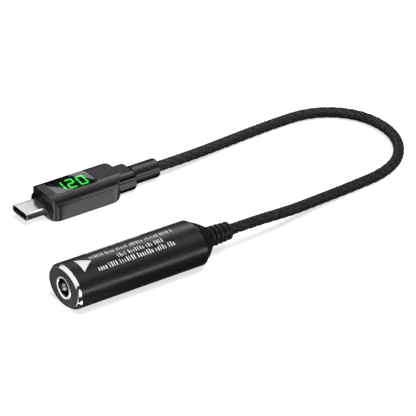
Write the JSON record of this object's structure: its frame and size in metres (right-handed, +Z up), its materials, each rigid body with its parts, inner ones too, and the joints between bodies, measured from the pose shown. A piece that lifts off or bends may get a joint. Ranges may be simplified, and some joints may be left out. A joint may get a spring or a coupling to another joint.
{
  "type": "usb power meter lead",
  "caption": "Black braided adapter lead with an oval DC barrel socket at one end and a USB-C plug whose housing has a green digital power display.",
  "frame": {"origin": "middle of the footprint of the plug and the socket, on the surface the lead lies on", "axes": "-X the way both mouths point, +Y from the socket towards the plug, +Z up"},
  "size_m": [0.1412, 0.0638, 0.013],
  "materials": {
    "plug_metal": "bright nickel plate",
    "contact_gold": "gold plate",
    "spring_steel": "bare spring steel",
    "black_insulator": "moulded, matt",
    "housing_black": "satin moulded plastic",
    "smoked_glass": "smoked, glossy",
    "display_body": "matt black",
    "lit_segment": "lit green",
    "dark_segment": "unlit",
    "circuit_board": "green solder mask",
    "chip_black": "moulded package",
    "ceramic_tan": "ceramic",
    "capacitor_can": "drawn can",
    "neck_black": "satin-gloss moulded plastic",
    "sleeve_black": "satin black",
    "socket_anodised": "black anodised aluminium tube, polished chamfer",
    "face_plastic": "fine matt",
    "relief_rubber": "matt",
    "cable_braid": "fine black braid",
    "wire_red": "insulated wire"
  },
  "bodies": {
    "root": {"usb_shell": "plug_metal", "usb_insulator": "black_insulator", "usb_contact_tails": "contact_gold", "usb_midplate": "spring_steel", "plug_collar": "neck_black", "plug_housing": "housing_black", "plug_cover": "housing_black", "display_window": "smoked_glass", "display_module": "display_body", "display_pins": "plug_metal", "display_segments_lit": "lit_segment", "display_segments_dark": "dark_segment", "plug_board": "circuit_board", "pd_controller": "chip_black", "meter_controller": "chip_black", "current_shunt": "spring_steel", "plug_capacitors": "ceramic_tan", "neck": "neck_black", "neck_sleeve": "sleeve_black", "plug_cable_tail": "cable_braid", "plug_crimp": "plug_metal", "plug_wires": "wire_red", "socket_shell": "socket_anodised", "socket_face": "face_plastic", "jack_ring": "plug_metal", "jack_body": "black_insulator", "jack_pin": "plug_metal", "jack_terminal": "spring_steel", "converter_board": "circuit_board", "inductor": "chip_black", "bulk_capacitors": "capacitor_can", "power_switches": "chip_black", "converter_controller": "chip_black", "ceramic_capacitors": "ceramic_tan", "board_cradle": "black_insulator", "socket_cable_tail": "cable_braid", "socket_crimp": "plug_metal", "power_wires": "wire_red", "rear_cone": "neck_black", "strain_relief": "relief_rubber", "cable": "cable_braid"},
    "contacts_upper": {"usb_contacts_upper": "contact_gold"},
    "contacts_lower": {"usb_contacts_lower": "contact_gold"},
    "latch_left": {"usb_latch_left": "spring_steel"},
    "latch_right": {"usb_latch_right": "spring_steel"},
    "jack_spring": {"jack_contact_spring": "spring_steel"}
  },
  "joints": [
    {"name": "contacts_upper_flex", "type": "hinge", "parent": "root", "child": "contacts_upper", "pos_m": [-0.01036, 0.0252, 0.00353], "axis": [0, 1, 0], "range_deg": [0, 1.6], "stiffness_Nm_per_rad": 0.02},
    {"name": "contacts_lower_flex", "type": "hinge", "parent": "root", "child": "contacts_lower", "pos_m": [-0.01036, 0.0252, 0.00287], "axis": [0, -1, 0], "range_deg": [0, 1.6], "stiffness_Nm_per_rad": 0.02},
    {"name": "latch_left_flex", "type": "hinge", "parent": "root", "child": "latch_left", "pos_m": [-0.01036, 0.02852, 0.0032], "axis": [0, 0, -1], "range_deg": [0, 2.2], "stiffness_Nm_per_rad": 0.02},
    {"name": "latch_right_flex", "type": "hinge", "parent": "root", "child": "latch_right", "pos_m": [-0.01036, 0.02187, 0.0032], "axis": [0, 0, 1], "range_deg": [0, 2.2], "stiffness_Nm_per_rad": 0.02},
    {"name": "jack_spring_flex", "type": "hinge", "parent": "root", "child": "jack_spring", "pos_m": [-0.0205, -0.02067, 0.0065], "axis": [0, 0, -1], "range_deg": [0, 3], "stiffness_Nm_per_rad": 0.05}
  ]
}
